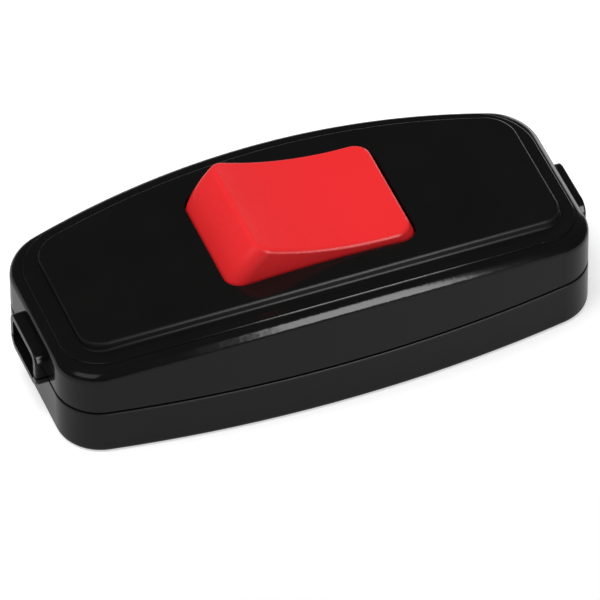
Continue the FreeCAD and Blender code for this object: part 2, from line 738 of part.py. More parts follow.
def make_cord_clamp(sign):
    """Bar over the cord, arched in its middle and flat on its two bosses."""
    low = floor_thickness + clamp_boss_height
    half = clamp_boss_offset + clamp_boss_diameter / 2
    flat = clamp_boss_offset - clamp_boss_diameter / 2
    t = clamp_bar_thickness
    x0 = sign * clamp_x - clamp_bar_width / 2

    def p(y, z):
        return Vector(x0, y, z)

    edges = [line(p(-half, low), p(-flat, low)), arc(p(-flat, low), p(0, low + clamp_bar_arch), p(flat, low)),
             line(p(flat, low), p(half, low)), line(p(half, low), p(half, low + t)),
             line(p(half, low + t), p(flat, low + t)),
             arc(p(flat, low + t), p(0, low + t + clamp_bar_arch), p(-flat, low + t)),
             line(p(-flat, low + t), p(-half, low + t)), line(p(-half, low + t), p(-half, low))]
    bar = Part.Face(Part.Wire(edges)).extrude(Vector(clamp_bar_width, 0, 0))
    bar = round_edges(bar, clamp_bar_width / 2 - clamp_bar_end_flat / 2,
                      lambda e: abs(e.Length - t) < 1e-6 and abs(abs(e.CenterOfMass.y) - half) < 1e-6)
    holes = [post(x, y, 0, case_height_middle, cord_screw[2] + 2 * screw_hole_clearance)
             for x, y in clamp_screws(sign)]
    return bar.cut(holes)


def make_all():
    """Every piece by its name, where it lies at rest."""
    pieces = {}
    pieces["upper_shell"] = make_upper_shell()
    pieces["lower_shell"] = make_lower_shell()
    pieces["rocker_button"] = to_rest(make_rocker())
    pieces["plunger"] = to_rest(make_plunger())
    pieces["plunger_spring"] = to_rest(make_spring())
    pieces["contact_lever"] = lever_to_rest(make_lever())
    pieces["moving_contact"] = lever_to_rest(placed(rivet(contact_head, False), contact_offset, 0, 0))
    pieces["pivot_terminal"] = make_pivot_terminal()
    pieces["fixed_terminal"] = make_fixed_terminal()
    tilt = math.radians(lever_tilt)
    moving_face = lever_pivot.z - contact_offset * math.sin(tilt) - contact_head * math.cos(tilt)
    strip_top = floor_thickness + strip_thickness
    fixed_head = moving_face - contact_gap - contact_diameter / 2 * math.sin(tilt) - strip_top
    pieces["fixed_contact"] = placed(rivet(fixed_head, True), fixed_contact_x(), lever_pivot.y, strip_top)
    pieces["neutral_connector"] = make_neutral_connector()

    terminals = {"line_in": (-terminal_x, lever_pivot.y), "line_out": (terminal_x, lever_pivot.y),
                 "neutral_in": (-neutral_screw_half, neutral_offset),
                 "neutral_out": (neutral_screw_half, neutral_offset)}
    for name, (x, y) in terminals.items():
        pieces[name + "_wire_clamp"] = make_wire_clamp(x, y)
        screw = make_screw(terminal_screw, terminal_screw_length, False)
        pieces[name + "_screw"] = placed(screw, x, y, pad_top + clamp_plate_thickness)

    for side, sign in (("left", -1), ("right", 1)):
        pieces["cord_clamp_" + side] = make_cord_clamp(sign)
        top = floor_thickness + clamp_boss_height + clamp_bar_thickness
        for place, (x, y) in zip(("rear", "front"), clamp_screws(sign)):
            screw = make_screw(cord_screw, cord_screw_length, True)
            pieces["cord_screw_" + side + "_" + place] = placed(screw, x, y, top)
    for side, (x, y) in zip(("right", "left"), case_bosses()):
        screw = make_screw(case_screw, case_screw_length, True)
        pieces["case_screw_" + side] = placed(screw, x, y, case_recess_depth, upside_down=True)
    return pieces


os.makedirs("parts", exist_ok=True)
for node, shape in make_all().items():
    solid = one_solid(shape)
    solid.exportStep("parts/" + node + ".step")
    low, high = solid.optimalBoundingBox(False).ZMin, solid.optimalBoundingBox(False).ZMax
    print(node, round(solid.Volume, 1), "mm3, from z", round(low, 2), "to", round(high, 2))
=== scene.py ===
# %% [markdown]
# An inline cord switch and its surfaces
#
# The object is a black glossy casing in two halves, with a red rocker on top and a see-saw contact inside.
# The pieces that carry, fit and move come ready as a frame of solid parts, in metres, each one in its place.
# This lesson gives them their surfaces, and adds what a solid part leaves plain: screw threads, driver
# recesses and the coil spring with its closed ends.

# %% Load the frame
import json
import math

import bpy
import numpy as np
from mathutils import Matrix, Vector


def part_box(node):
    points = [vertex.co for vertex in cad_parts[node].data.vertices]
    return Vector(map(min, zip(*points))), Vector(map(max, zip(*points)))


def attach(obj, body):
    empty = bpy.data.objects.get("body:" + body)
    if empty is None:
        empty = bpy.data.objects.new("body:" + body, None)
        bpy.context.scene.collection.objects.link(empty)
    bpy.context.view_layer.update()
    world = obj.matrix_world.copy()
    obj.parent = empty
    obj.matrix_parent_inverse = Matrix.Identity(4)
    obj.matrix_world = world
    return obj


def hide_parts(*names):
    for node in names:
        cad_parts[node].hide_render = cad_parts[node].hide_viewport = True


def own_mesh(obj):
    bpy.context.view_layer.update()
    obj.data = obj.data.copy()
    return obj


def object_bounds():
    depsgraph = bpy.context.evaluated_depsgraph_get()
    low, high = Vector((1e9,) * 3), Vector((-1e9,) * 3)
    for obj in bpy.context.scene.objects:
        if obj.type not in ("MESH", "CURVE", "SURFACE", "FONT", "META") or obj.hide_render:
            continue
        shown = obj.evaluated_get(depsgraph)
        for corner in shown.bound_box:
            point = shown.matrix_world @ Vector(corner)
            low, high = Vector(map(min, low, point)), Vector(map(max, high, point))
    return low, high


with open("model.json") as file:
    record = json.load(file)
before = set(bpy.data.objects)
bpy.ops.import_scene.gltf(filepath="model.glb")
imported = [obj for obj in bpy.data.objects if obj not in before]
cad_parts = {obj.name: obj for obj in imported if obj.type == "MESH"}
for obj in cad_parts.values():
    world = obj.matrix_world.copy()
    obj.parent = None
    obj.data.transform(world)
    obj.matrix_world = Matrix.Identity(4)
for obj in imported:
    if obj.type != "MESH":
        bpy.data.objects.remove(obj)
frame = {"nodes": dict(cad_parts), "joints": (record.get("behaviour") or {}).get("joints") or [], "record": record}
cad_box = [list(corner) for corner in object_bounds()]
nodes = frame["nodes"]
millimetre = 0.001
print("pieces in the frame:", len(nodes))

# %% [markdown]
# Where the camera stands
#
# A camera is a place and three directions: to the right, up, and backwards out of the lens. It could be
# turned by hand until the picture fits, but nobody could say afterwards how it stands. Here two angles give
# the backward direction, and the other two directions follow from it, so no rotation has to be guessed. The
# object is small and the view is nearly without perspective, so the lens is long and stands far away.

# %% Camera
view_azimuth = math.radians(-20.589)
view_elevation = math.radians(44.292)
view_roll = math.radians(-0.827)
view_distance = 1.2884
view_focal_length = 543.999
sensor_width = 36.0
slide_right = -0.00008
slide_up = 0.002436
nearest_seen = 0.01

back = np.array([math.sin(view_azimuth) * math.cos(view_elevation),
                 -math.cos(view_azimuth) * math.cos(view_elevation),
                 math.sin(view_elevation)])
level_right = np.array([math.cos(view_azimuth), math.sin(view_azimuth), 0.0])
level_up = np.cross(back, level_right)
right = math.cos(view_roll) * level_right + math.sin(view_roll) * level_up
up = math.cos(view_roll) * level_up - math.sin(view_roll) * level_right
place = view_distance * back + slide_right * right + slide_up * up

lens = bpy.data.cameras.new("camera")
lens.sensor_width = sensor_width
lens.lens = view_focal_length
lens.clip_start = nearest_seen
camera = bpy.data.objects.new("camera", lens)
columns = np.array([right, up, back, place]).T
camera.matrix_world = Matrix(np.vstack([columns, [0, 0, 0, 1]]).tolist())
bpy.context.scene.collection.objects.link(camera)
bpy.context.scene.camera = camera
print("camera at", place.round(3))

# %% [markdown]
# Shader maths in plain expressions
#
# A material is a graph of small nodes, and arithmetic takes one node for each sign. Wrapping a socket in a
# class lets the language's own signs add those nodes, so that a formula can be read as a formula. Every other
# kind of node comes from one method, which takes the node's type, its settings and the values of its sockets.
# The settings come first, because some of them change which sockets a node has.


# %% Numbers that add their own nodes
class Number:
    """The value of a socket in a shader graph. Arithmetic on it adds a Math node and gives another number. A
    Math node turns a colour grey, so colours are mixed by the graph's blend instead."""

    def __init__(self, graph, socket):
        self.graph = graph
        self.socket = socket

    def math(self, operation, first, second=0.0):
        return self.graph.node("ShaderNodeMath", {"operation": operation}, {0: first, 1: second})

    def __add__(self, other):
        return self.math("ADD", self, other)

    def __sub__(self, other):
        return self.math("SUBTRACT", self, other)

    def __rsub__(self, other):
        return self.math("SUBTRACT", other, self)

    def __mul__(self, other):
        return self.math("MULTIPLY", self, other)

    def __abs__(self):
        return self.math("ABSOLUTE", self)

    def __lt__(self, other):
        return self.math("LESS_THAN", self, other)

    def __gt__(self, other):
        return self.math("GREATER_THAN", self, other)

    __radd__ = __add__
    __rmul__ = __mul__


print("signs that add nodes:", "+ - * abs < >")


# %% Graphs and their nodes
class Graph:
    """The nodes of one material, or of the surroundings, with the shader that they feed."""

    def __init__(self, tree, shader):
        self.tree = tree
        self.shader = tree.nodes[shader]

    def node(self, kind, settings, sockets, output=0):
        """Adds a node: its settings first, then the value or link of each socket. Gives one output."""
        node = self.tree.nodes.new(kind)
        for name, value in settings.items():
            if name == "stops":
                self.set_stops(node.color_ramp, value)
            else:
                setattr(node, name, value)
        for name, value in sockets.items():
            self.join(node.inputs[name], value)
        return Number(self, node.outputs[output])

    def join(self, socket, value):
        """Links a number to a socket, or sets the socket to a plain value."""
        if isinstance(value, Number):
            self.tree.links.new(value.socket, socket)
        else:
            socket.default_value = value

    def set(self, socket, value):
        """Links or sets a socket of the main shader."""
        self.join(self.shader.inputs[socket], value)

    def set_stops(self, ramp, stops):
        """Gives a ramp its stops, each a position and a grey level."""
        while len(ramp.elements) < len(stops):
            ramp.elements.new(0.5)
        for element, (position, grey) in zip(ramp.elements, stops):
            element.position = position
            element.color = (grey, grey, grey, 1)

    def ray(self, kind):
        """1 for the rays of one kind, such as those from the camera, and 0 for all others."""
        return self.node("ShaderNodeLightPath", {}, {}, "Is " + kind + " Ray")

    def blend(self, factor, first, second):
        """A colour that runs from the first to the second as the factor runs from 0 to 1."""
        first, second = [(*colour, 1) if isinstance(colour, tuple) else colour for colour in (first, second)]
        return self.node("ShaderNodeMix", {"data_type": "RGBA"}, {0: factor, 6: first, 7: second}, 2)


print("a graph gives:", "node, join, set, ray, blend")


# %% Materials in the making
class Finish(Graph):
    """A material that is being made, with its one main shader."""

    def __init__(self, name, **constants):
        self.material = bpy.data.materials.new(name)
        self.material.use_nodes = True
        super().__init__(self.material.node_tree, "Principled BSDF")
        for socket, value in constants.items():
            self.set(socket.replace("_", " "), value)
        self.place = self.node("ShaderNodeTexCoord", {}, {}, "Object")

    def stretched(self, x, y, z):
        """Object coordinates, stretched so that a pattern is finer along one axis than along another."""
        return self.node("ShaderNodeMapping", {}, {"Vector": self.place, "Scale": (x, y, z)})

    def noise(self, size, detail=2.0, where=None):
        """Cloudy noise from 0 to 1 whose clouds have about the given size in metres."""
        sockets = {"Vector": where or self.place, "Scale": 1 / size, "Detail": detail}
        return self.node("ShaderNodeTexNoise", {}, sockets, "Fac")

    def between(self, factor, low, high):
        """A number that runs from low to high as the factor runs from 0 to 1."""
        return factor * (high - low) + low

    def relief(self, height, depth):
        """Feeds a height pattern to the shader as small bumps of the given depth in metres."""
        sockets = {"Height": height, "Distance": depth, "Strength": 1.0}
        self.set("Normal", self.node("ShaderNodeBump", {}, sockets, "Normal"))


print("a finish adds:", "stretched, noise, between, relief")

# %% [markdown]
# The arch of the casing's top
#
# Two bands of the casing are duller than the rest: the flank of the raised panel, and the edges where the two
# halves meet. Their faces could be picked out and given a second material, but the mesh of a solid part stays
# as it is, so the material finds the bands itself by measuring each point's place. The parting line is
# level, so its height is enough. The panel's top is arched along the casing, a part of a large cylinder, so
# the flank is found by the depth below that cylinder. Its radius is worked out from the solid itself: an
# arch that falls by d at a distance x from its middle has the radius (x squared plus d squared) over twice d.
# The highest point in the end zone, which starts at 35 mm from the middle, gives both.


# %% The arch and the parting line
def vertex_places(mesh):
    """The places of a mesh's vertices, as an array with one row each."""
    places = np.empty(3 * len(mesh.vertices), dtype=np.float32)
    mesh.vertices.foreach_get("co", places)
    return places.reshape(-1, 3).astype(float)


end_zone = 35 * millimetre
panel_rise = 1.45 * millimetre
parting_gap = 0.36 * millimetre

shell_places = vertex_places(nodes["upper_shell"].data)
top_height = shell_places[:, 2].max()
end_places = shell_places[np.abs(shell_places[:, 0]) > end_zone]
end_point = end_places[end_places[:, 2].argmax()]
arch_fall = top_height - end_point[2]
arch_radius = (end_point[0] ** 2 + arch_fall ** 2) / (2 * arch_fall)
arch_centre = top_height - arch_radius
parting_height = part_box("upper_shell")[0].z - parting_gap / 2
print("arch of the top:", round(arch_radius / millimetre, 1), "mm in radius")
print("parting line at", round(parting_height / millimetre, 2), "mm")

# %% [markdown]
# Moulded plastic
#
# A glossy moulding is never quite even. Its face has a soft waviness of a few millimetres, from the steel
# and from the shrinking of the plastic, and its gloss changes a little from place to place. A few specks of
# dust lie on it. The specks are points scattered in cells: a cell shows one only if its own random value is
# high, so they stay rare. The flank of the panel and the parting edges are less polished than the faces, so
# they are duller. All of this is worked out from each point's place, with no picture, so it has the
# right scale from every side.

# %% Patterns on the plastic
soft_edge = 0.03


def specks(finish, cell, radius, share):
    """1 inside a few small spots, 0 elsewhere. Space is cut into cells with one point each. A spot is
    what lies nearer to a point than the radius, in the share of cells whose random value is highest. That
    value is the cell's random colour, read as a grey."""
    settings = {"feature": "F1"}
    sockets = {"Vector": finish.place, "Scale": 1 / cell}
    near = finish.node("ShaderNodeTexVoronoi", settings, sockets, "Distance")
    value = finish.node("ShaderNodeTexVoronoi", settings, sockets, "Color")
    return (near < radius / cell) * (value > 1 - share)


def parting_edges(finish):
    """1 within one gap's width of the middle of the parting line, 0 elsewhere."""
    height = finish.node("ShaderNodeSeparateXYZ", {}, {"Vector": finish.place}, "Z")
    return abs(height - parting_height) < parting_gap


def step_flank(finish):
    """1 on the flank of the raised panel, 0 elsewhere. The top is a cylinder along Y, so a point's depth
    below it is the cylinder's radius less the point's distance from the cylinder's axis."""
    flat = {"Vector": finish.place, "Scale": (1, 0, 1), "Location": (0, 0, -arch_centre)}
    from_axis = finish.node("ShaderNodeMapping", {}, flat)
    distance = finish.node("ShaderNodeVectorMath", {"operation": "LENGTH"}, {0: from_axis}, "Value")
    depth = (arch_radius - distance) * (1 / panel_rise)
    stops = ((0.0, 0.0), (soft_edge, 1.0), (1 - soft_edge, 1.0), (1.0, 0.0))
    return finish.node("ShaderNodeValToRGB", {"stops": stops}, {"Fac": depth})


print("the flank of the panel is", round(panel_rise / millimetre, 2), "mm high")

# %% Moulded plastic
shade_cloud_size = 9 * millimetre
gloss_cloud_size = 5 * millimetre
wave_size = 4 * millimetre
skin_grain_size = 0.35 * millimetre
skin_grain_share = 0.02
dust_spacing = 5 * millimetre
dust_radius = 0.07 * millimetre
dust_shade = (0.28, 0.28, 0.28)
dust_dullness = 0.4


def moulded_plastic(name, dark, light, roughness, waviness, dust, specular=0.5, flank_roughness=0.0):
    """Pigmented moulded plastic between two close shades, with a wavy face and a few specks of dust. The
    flank of a raised panel and the parting edges may be duller by the given roughness."""
    finish = Finish(name)
    shade_cloud = finish.noise(shade_cloud_size, 1.0)
    grain = finish.noise(skin_grain_size)
    spots = specks(finish, dust_spacing, dust_radius, dust)
    finish.set("Base Color", finish.blend(spots, finish.blend(shade_cloud, dark, light), dust_shade))
    dullness = finish.between(finish.noise(gloss_cloud_size), *roughness) + spots * dust_dullness
    if flank_roughness:
        dullness = dullness + (step_flank(finish) + parting_edges(finish)) * flank_roughness
    finish.set("Roughness", dullness)
    finish.set("Specular IOR Level", specular)
    finish.relief(finish.noise(wave_size, 1.0) + grain * skin_grain_share, waviness)
    return finish.material


black_plastic = moulded_plastic("black_glossy_plastic", (0.0045, 0.0045, 0.0045), (0.0065, 0.0065, 0.0062),
                                roughness=(0.14, 0.2), waviness=0.003 * millimetre, dust=0.12,
                                specular=0.24, flank_roughness=0.28)
red_plastic = moulded_plastic("red_rocker_plastic", (0.83, 0.024, 0.027), (0.86, 0.027, 0.031),
                              roughness=(0.25, 0.3), waviness=0.002 * millimetre, dust=0.03, specular=0.13)
clamp_plastic = moulded_plastic("matte_clamp_plastic", (0.020, 0.020, 0.021), (0.028, 0.028, 0.028),
                                roughness=(0.45, 0.6), waviness=0.01 * millimetre, dust=0.0)
nylon = moulded_plastic("milky_nylon", (0.66, 0.62, 0.53), (0.74, 0.71, 0.62),
                        roughness=(0.32, 0.45), waviness=0.01 * millimetre, dust=0.0)
print("plastics:", black_plastic.name, red_plastic.name, clamp_plastic.name, nylon.name)

# %% [markdown]
# Metals
#
# The strips are stamped from rolled brass, so their grain runs along the strip and their colour is uneven
# where the air has dulled it. The screws and wire clamps have a thin zinc coat, greyish and slightly cloudy.
# The rivets are bright silver, and the spring is drawn wire. Four separate graphs would say nearly the same,
# so all of them are one shader with a different grain, shade and roughness.

# %% Metals
tarnish_size = 2.5 * millimetre
tarnish_share = 0.6
unstretched = (1, 1, 1)


def metal(name, bright, dull, roughness, grain_size, grain_stretch, grain_depth):
    """Bare metal between a bright and a dull shade, with a grain that is stretched along one axis."""
    finish = Finish(name, Metallic=1.0)
    tarnish = finish.noise(tarnish_size, 4.0)
    grain = finish.noise(grain_size, where=finish.stretched(*grain_stretch))
    finish.set("Base Color", finish.blend(tarnish, bright, dull))
    cloud = tarnish * tarnish_share + grain * (1 - tarnish_share)
    finish.set("Roughness", finish.between(cloud, *roughness))
    finish.relief(grain, grain_depth)
    return finish.material


brass = metal("rolled_brass", (0.80, 0.58, 0.25), (0.58, 0.38, 0.14), roughness=(0.18, 0.42),
              grain_size=0.12 * millimetre, grain_stretch=(0.08, 1, 1), grain_depth=0.002 * millimetre)
silver = metal("rivet_silver", (0.90, 0.89, 0.86), (0.72, 0.70, 0.66), roughness=(0.12, 0.3),
               grain_size=0.1 * millimetre, grain_stretch=(1, 1, 0.3), grain_depth=0.001 * millimetre)
zinc = metal("zinc_plate", (0.72, 0.73, 0.74), (0.55, 0.56, 0.57), roughness=(0.25, 0.45),
             grain_size=0.2 * millimetre, grain_stretch=unstretched, grain_depth=0.002 * millimetre)
spring_steel = metal("spring_wire", (0.50, 0.50, 0.51), (0.36, 0.36, 0.37), roughness=(0.2, 0.35),
                     grain_size=0.05 * millimetre, grain_stretch=(1, 1, 0.2), grain_depth=0.001 * millimetre)
print("metals:", brass.name, silver.name, zinc.name, spring_steel.name)

# %% [markdown]
# Each solid part gets its finish
#
# The record of the frame says which finish every node takes. One dictionary turns the finish's name into the
# material, and a loop assigns it. A list of parts written by hand could miss one, and the loop can't, so no
# part is left grey.

# %% Finishes of the frame's own parts
finish_of_slot = {"black_plastic": black_plastic, "red_plastic": red_plastic, "clamp_plastic": clamp_plastic,
                  "natural_nylon": nylon, "brass": brass, "contact_silver": silver, "plated_steel": zinc,
                  "screw_steel": zinc, "spring_steel": spring_steel}
slot_of_node = {part["node"]: part["material_slot"] for part in frame["record"]["subparts"]}
for name, node in nodes.items():
    node.data.materials.clear()
    node.data.materials.append(finish_of_slot[slot_of_node[name]])
print("finished:", len(slot_of_node), "nodes in", len(set(slot_of_node.values())), "finishes")

# %% [markdown]
# Surfaces from grids of points
#
# A new piece is a surface over two parameters. It could be put together vertex by vertex, but a formula over
# a whole grid is shorter and says what the shape is. All points are worked out at once, as an array of rows
# and columns, and one helper turns any such grid into a closed mesh: the columns join up into a ring, and
# each end gets one point in its middle, joined to the last ring by triangles. A screw and a coil spring are
# both such tubes, so one helper makes them both.

# %% From a grid to a closed mesh
crease_angle = math.radians(35)


def closed_tube(name, points):
    """A closed mesh from rings of points, shaped (rings, points in a ring, 3). Face (i, j) joins the
    points (i, j), (i, j+1), (i+1, j+1) and (i+1, j). Both ends are fans about their middle."""
    rings, around, _ = points.shape
    index = np.arange(rings * around).reshape(rings, around)
    after = np.roll(index, -1, axis=1)
    quads = np.stack([index[:-1], after[:-1], after[1:], index[1:]], axis=-1).reshape(-1, 4)
    first, last = rings * around, rings * around + 1
    start_fan = np.stack([after[0], index[0], np.full(around, first)], axis=-1)
    end_fan = np.stack([index[-1], after[-1], np.full(around, last)], axis=-1)
    vertices = np.vstack([points.reshape(-1, 3), points[0].mean(axis=0), points[-1].mean(axis=0)])
    mesh = bpy.data.meshes.new(name)
    mesh.from_pydata(vertices.tolist(), [], quads.tolist() + start_fan.tolist() + end_fan.tolist())
    mesh.update()
    return mesh


def add_piece(name, mesh, body, material, slot, *replaced):
    """Puts a finished mesh into the scene as a piece that rides on a body and stands for nodes of the frame.
    It is shaded smoothly, with a crease where two faces meet at more than the crease angle."""
    mesh.polygons.foreach_set("use_smooth", np.ones(len(mesh.polygons), dtype=bool))
    mesh.set_sharp_from_angle(angle=crease_angle)
    mesh.materials.clear()
    mesh.materials.append(material)
    piece = bpy.data.objects.new(name, mesh)
    bpy.context.scene.collection.objects.link(piece)
    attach(piece, body)
    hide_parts(*replaced)
    return piece


print("creases above", round(math.degrees(crease_angle)), "degrees")

# %% [markdown]
# Screws with a real thread
#
# Each screw is a turned piece: a profile of radius against height, carried round the axis. The thread adds a
# term to the radius that depends on both parameters: it rises once per pitch along the axis, and once per
# turn around it, which is just what makes a helix. Bump in the material would shade like a thread, but the
# screw's outline would stay straight.

# %% The turned profile of a screw
steps_around = 48
steps_per_pitch = 12
dome_steps = 8
rim_steps = 6
rim_share = 0.42
dome_share = 0.18
dome_start = 0.12
under_rim = (0.04, 0.05)
neck_share = 0.04
plain_pitches = 0.6
tip_share = 0.35


def screw_head(head_diameter, head_height, shank_diameter):
    """Rows of radius and height, from near the middle of the head's top to the shank. The top is a flat
    dome: its height falls as the square of the radius. A quarter round leads to the rim, and a small slope
    to the head's underside."""
    radius = head_diameter / 2
    rim = rim_share * head_height
    dome = dome_share * head_height
    share = np.linspace(dome_start, 1, dome_steps)
    turn = np.linspace(0, math.pi / 2, rim_steps + 1)[1:]
    slope_in, slope_up = under_rim
    dome_rows = [(radius - rim) * share, head_height - dome * share ** 2]
    rim_rows = [radius - rim + rim * np.sin(turn), head_height - dome - rim + rim * np.cos(turn)]
    under_rows = [[radius, radius - slope_in * head_diameter, shank_diameter / 2],
                  [slope_up * head_height, 0.0, 0.0]]
    return np.hstack([dome_rows, rim_rows, under_rows]).T


def screw_rings(sizes, length, pitch, thread_depth, point_length):
    """Rings of a screw whose head stands on z = 0 and whose shank hangs below it.
    Along the shank the radius is the full one less the thread's depth times a triangle wave of
    (height / pitch - angle / full turn). Below the head the wave fades, which leaves a plain neck. Over the
    point's length the thread fades into the core, and the core narrows to the tip's share of itself."""
    head = screw_head(*sizes)
    full = sizes[2] / 2
    angle = np.linspace(0, 2 * math.pi, steps_around, endpoint=False)
    steps = int(round(steps_per_pitch * length / pitch))
    height = -np.linspace(neck_share * length, length, steps)
    wave = np.abs(2 * ((height[:, None] / pitch - angle / (2 * math.pi)) % 1.0) - 1)
    run_in = np.clip(-height / pitch - plain_pitches, 0, 1)[:, None]
    threaded = full - thread_depth * (1 - wave) * run_in
    taper = np.clip((height + length) / point_length, 0, 1)[:, None]
    core = (full - thread_depth) * (tip_share + (1 - tip_share) * taper)
    shank_radius = core + (threaded - (full - thread_depth)) * np.clip(2 * taper, 0, 1)

    ring_radius = np.vstack([np.repeat(head[:, :1], steps_around, axis=1), shank_radius])
    ring_height = np.concatenate([head[:, 1], height])
    x, y = ring_radius * np.cos(angle), ring_radius * np.sin(angle)
    return np.stack([x, y, np.repeat(ring_height[:, None], steps_around, axis=1)], axis=-1)


print("rings of a screw:", screw_rings((5, 1.7, 3), 4.5, 0.5, 0.3, 0.4).shape)

# %% [markdown]
# Driver recesses
#
# A slot is a straight bar, and a cross recess is two bars that narrow downwards to a blunt point. Their flat
# walls don't follow the round grid of the head, so each recess is cut with a Boolean. The tool that it takes
# away is a prism from one outline, and the same helper makes the cross narrower at the bottom than at the
# top. The Boolean's result is kept as a plain mesh, and the prism is thrown away.


# %% Outlines and prisms
def bar_outline(half_length, half_width):
    """The four corners of a bar along X, counted anticlockwise: plus or minus each half."""
    return np.array([[-half_length, -half_width], [half_length, -half_width],
                     [half_length, half_width], [-half_length, half_width]])


def cross_outline(reach, half_width):
    """The twelve corners of a cross: one arm's three corners, turned by quarter turns. A corner is written as
    a complex number, because a quarter turn is then one multiplication."""
    arm = np.array([complex(half_width, half_width), complex(reach, half_width), complex(reach, -half_width)])
    quarter_turns = np.array([1, -1j, -1, 1j])
    corners = (quarter_turns[:, None] * arm).ravel()[::-1]
    return np.column_stack([corners.real, corners.imag])


def prism(outline, top, bottom, narrowing):
    """A solid between the outline at the top and the same outline, times the narrowing, at the bottom."""
    count = len(outline)
    vertices = np.vstack([np.column_stack([outline, np.full(count, top)]),
                          np.column_stack([outline * narrowing, np.full(count, bottom)])])
    index = np.arange(count)
    after = np.roll(index, -1)
    sides = np.column_stack([index, index + count, after + count, after])
    mesh = bpy.data.meshes.new("recess")
    mesh.from_pydata(vertices.tolist(), [], sides.tolist() + [index.tolist(), (index + count)[::-1].tolist()])
    return mesh


print("corners of a cross:", len(cross_outline(1.5, 0.4)))


# %% Cutting a recess
def with_recess(mesh, tool_mesh):
    """The mesh less the tool, as a plain mesh with nothing left to work out."""
    body = bpy.data.objects.new("body", mesh)
    tool = bpy.data.objects.new("tool", tool_mesh)
    for piece in (body, tool):
        bpy.context.scene.collection.objects.link(piece)
    cut = body.modifiers.new("recess", "BOOLEAN")
    cut.operation = "DIFFERENCE"
    cut.solver = "EXACT"
    cut.object = tool
    graph = bpy.context.evaluated_depsgraph_get()
    result = bpy.data.meshes.new_from_object(body.evaluated_get(graph))
    for piece in (body, tool):
        used = piece.data
        bpy.data.objects.remove(piece)
        bpy.data.meshes.remove(used)
    return result


print("a recess is cut by taking a prism away")

# %% [markdown]
# The three kinds of screw
#
# Terminal screws have a fine metric thread and a slot. Cord clamp and case screws cut their own way into the
# plastic, with a coarse thread and a cross recess. Each kind is made once, and its copies are placed by the
# boxes of the nodes that they stand for, so they follow the frame if it changes. Each copy is turned by a
# different angle, because no two screws stop at the same one.

# %% Screws of each kind
slot_depth = 0.8
slot_half_width = 0.4
slot_reach_share = 0.6
cross_depth = 1.1
cross_narrowing = 0.45
cross_reach_share = 0.3
cross_half_width_share = 0.1
recess_margin = 0.5


def screw_mesh(name, sizes, length, pitch, thread_depth, point_length, crossed):
    """One screw in metres, about its own axis, with its head on z = 0. The sizes are the head's diameter and
    height and the shank's diameter, in millimetres like the rest. A slot goes right across the head, and
    a cross grows with the head's diameter."""
    head_diameter, head_height, _ = sizes
    mesh = closed_tube(name, screw_rings(sizes, length, pitch, thread_depth, point_length) * millimetre)
    if crossed:
        outline = cross_outline(cross_reach_share * head_diameter, cross_half_width_share * head_diameter)
        depth, narrowing = cross_depth, cross_narrowing
    else:
        outline = bar_outline(slot_reach_share * head_diameter, slot_half_width)
        depth, narrowing = slot_depth, 1.0
    tool = prism(outline * millimetre, (head_height + recess_margin) * millimetre,
                 (head_height - depth) * millimetre, narrowing)
    return with_recess(mesh, tool)


terminal_kind = screw_mesh("terminal_screw", sizes=(5.0, 1.7, 3.0), length=4.5, pitch=0.5,
                           thread_depth=0.28, point_length=0.5, crossed=False)
cord_kind = screw_mesh("cord_screw", sizes=(4.6, 1.6, 2.5), length=6.0, pitch=1.0,
                       thread_depth=0.38, point_length=1.4, crossed=True)
case_kind = screw_mesh("case_screw", sizes=(5.6, 2.0, 2.9), length=9.6, pitch=1.2,
                       thread_depth=0.42, point_length=1.8, crossed=True)
print("faces:", [len(kind.polygons) for kind in (terminal_kind, cord_kind, case_kind)])

# %% Screws in their places
turn_between_screws = 0.7


def placed_screw(kind, node, turn, upside_down=False):
    """A copy of a screw, turned about its axis and set where the node's box says: its head's top is level
    with the top of the box, or with the bottom of it if the screw goes in from below."""
    low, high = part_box(node)
    centre = (low + high) / 2
    head_top = vertex_places(kind)[:, 2].max()
    if upside_down:
        shift = Vector((centre.x, centre.y, low.z + head_top))
        facing = Matrix.Rotation(math.pi, 4, "X")
    else:
        shift = Vector((centre.x, centre.y, high.z - head_top))
        facing = Matrix.Identity(4)
    mesh = kind.copy()
    mesh.transform(Matrix.Translation(shift) @ facing @ Matrix.Rotation(turn, 4, "Z"))
    return add_piece(node.replace("_screw", "_threaded_screw"), mesh, "case", zinc, "screw_steel", node)


screw_nodes = [name for name in sorted(nodes) if "screw" in name]
terminal_nodes = [name for name in screw_nodes if name.startswith(("line_", "neutral_"))]
cord_nodes = [name for name in screw_nodes if name.startswith("cord_")]
case_nodes = [name for name in screw_nodes if name.startswith("case_")]
screw_count = 0
for kind, names, upside_down in ((terminal_kind, terminal_nodes, False), (cord_kind, cord_nodes, False),
                                 (case_kind, case_nodes, True)):
    for name in names:
        screw_count += 1
        placed_screw(kind, name, turn_between_screws * screw_count, upside_down)
print("screws:", screw_count)

# %% [markdown]
# The spring behind the plunger
#
# A compression spring is a round wire wound on a helix, with its last turn at each end laid flat against its
# neighbour so that it sits square. A curve with a round bevel would make one too, but the grid helper is
# there, and it closes both ends. The helix's centre line is worked out first. A ring of points is then
# carried along it on two directions that stay at right angles to the wire, which keeps the wire round where
# the turns open. The real spring gets shorter as the plunger slides in, but this one is made once, at its
# full length.

# %% The line and the wire
spring_outer_radius = 1.25 * millimetre
wire_radius = 0.175 * millimetre
open_turns = 5.0
closed_turns = 1.0
opening_turn = 0.25
steps_per_turn = 36
sides_of_wire = 12


